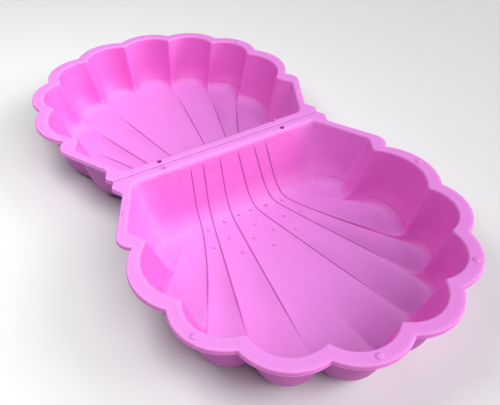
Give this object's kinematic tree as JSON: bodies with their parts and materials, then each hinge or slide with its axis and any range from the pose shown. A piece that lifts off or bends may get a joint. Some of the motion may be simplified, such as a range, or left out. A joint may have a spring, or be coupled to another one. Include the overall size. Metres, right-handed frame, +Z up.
{
  "type": "sand pit with cover",
  "caption": "Scallop-shell sand and water tray in moulded plastic with a matching shell cover that folds over it along the straight edge.",
  "frame": {"origin": "On the ground, under the middle of the straight edges where the two halves meet.", "axes": "+Z up; X runs along the straight edges; the base lies towards -Y and the opened cover towards +Y."},
  "size_m": [0.8624, 1.6054, 0.189],
  "materials": {
    "pink_plastic": "satin moulded polyethylene"
  },
  "bodies": {
    "base": {"base_floor": "pink_plastic", "base_wall": "pink_plastic", "base_rim": "pink_plastic", "base_fan_ridges": "pink_plastic", "base_grip_studs": "pink_plastic", "base_peg": "pink_plastic", "base_rim_pips": "pink_plastic"},
    "cover": {"cover_floor": "pink_plastic", "cover_wall": "pink_plastic", "cover_rim": "pink_plastic", "cover_fan_ridges": "pink_plastic", "cover_grip_studs": "pink_plastic", "cover_peg": "pink_plastic", "cover_rim_pips": "pink_plastic"}
  },
  "joints": [
    {"name": "cover_fold", "type": "hinge", "parent": "base", "child": "cover", "pos_m": [0, 0, 0.17955], "axis": [1, 0, 0], "range_deg": [0, 180]}
  ]
}
